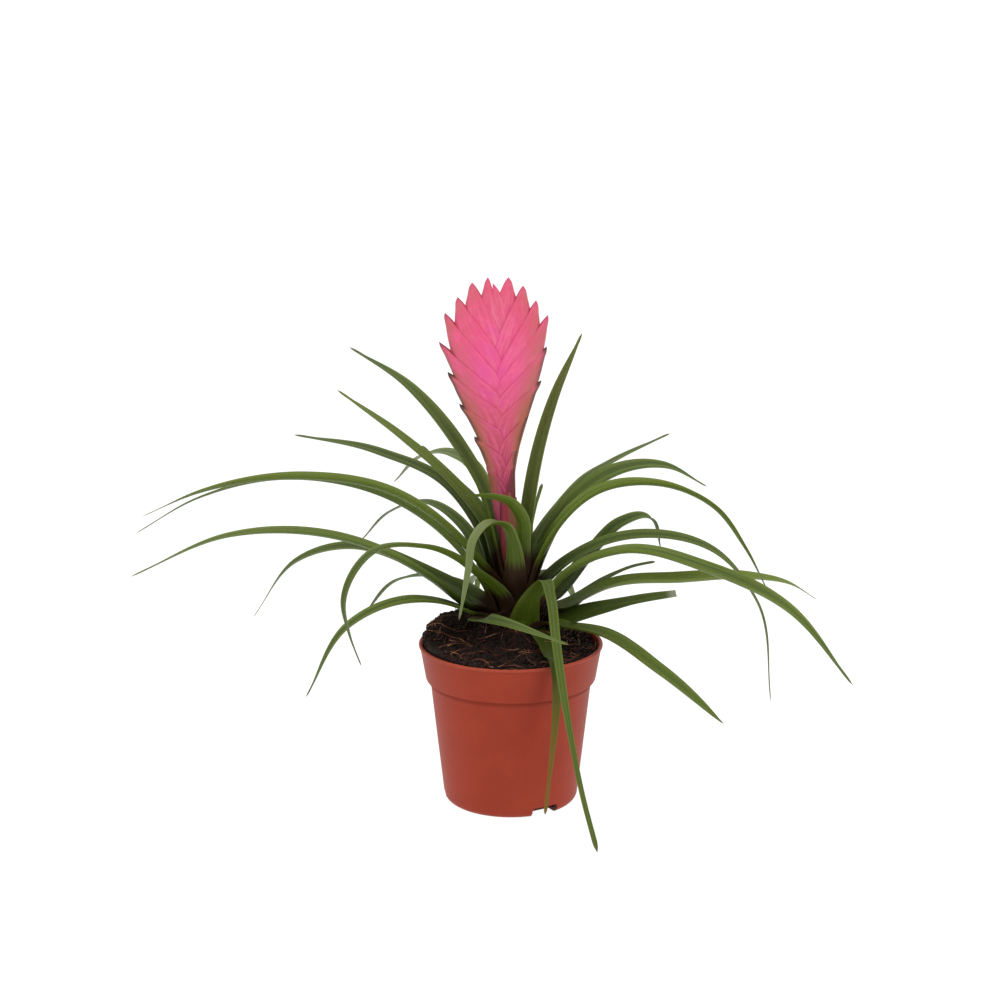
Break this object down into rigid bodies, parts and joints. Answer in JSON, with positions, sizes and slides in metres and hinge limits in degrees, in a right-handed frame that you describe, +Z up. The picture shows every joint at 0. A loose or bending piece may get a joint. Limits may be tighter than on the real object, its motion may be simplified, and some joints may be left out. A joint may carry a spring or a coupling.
{
  "type": "potted pink quill plant",
  "caption": "Air plant with a flat pink flower head over a rosette of narrow arching channelled leaves, in a round tapered plastic nursery pot filled with dark peat.",
  "frame": {"origin": "middle of the pot's flat underside", "axes": "+Z up, +X to the right along the flower head's broad face, -Y to the front as pictured"},
  "size_m": [0.3418, 0.2523, 0.259],
  "materials": {
    "pot_plastic": "satin terracotta-coloured moulded plastic, a little mottled",
    "peat": "matte dark moist peat with reddish coir fibres",
    "crown_stem": "matte dark brown stem tissue",
    "leaf": "satin green with fine lengthwise lines, greyer and scaly on the upper face, maroon brown at the sheath",
    "stalk": "satin deep crimson",
    "bract": "satin pink, finely striped lengthwise, darker and browner at the lowest tips"
  },
  "bodies": {
    "root": {"pot": "pot_plastic", "soil": "peat", "crown": "crown_stem", "flower_stalk": "stalk", "quill": "bract", "leaf_right_upright": "leaf", "leaf_left_upright": "leaf", "leaf_front_curl_high": "leaf", "leaf_right_back_high": "leaf", "leaf_left_high": "leaf", "leaf_front_curl": "leaf", "leaf_right_tall_arch": "leaf", "leaf_left_back_point": "leaf", "leaf_left_long_arch": "leaf", "leaf_right_twist": "leaf", "leaf_back_left_arch": "leaf", "leaf_left_curl": "leaf", "leaf_right_long_fall": "leaf", "leaf_back_high": "leaf", "leaf_left_back_high": "leaf", "leaf_front_folded": "leaf", "leaf_right_broad": "leaf", "leaf_back_right_short": "leaf", "leaf_back_left_low": "leaf", "leaf_left_long_behind": "leaf", "leaf_right_hook": "leaf", "leaf_back_arch": "leaf", "leaf_left_low_arch": "leaf", "leaf_front_creased": "leaf", "leaf_right_level": "leaf", "leaf_back_right_low": "leaf", "leaf_left_mid_arch": "leaf", "leaf_right_cut": "leaf", "leaf_right_back_thin": "leaf", "leaf_back_left_fall": "leaf", "leaf_left_back_thin": "leaf", "leaf_left_low_fall": "leaf", "leaf_front_hanging": "leaf", "leaf_right_low_fall": "leaf"}
  },
  "joints": []
}
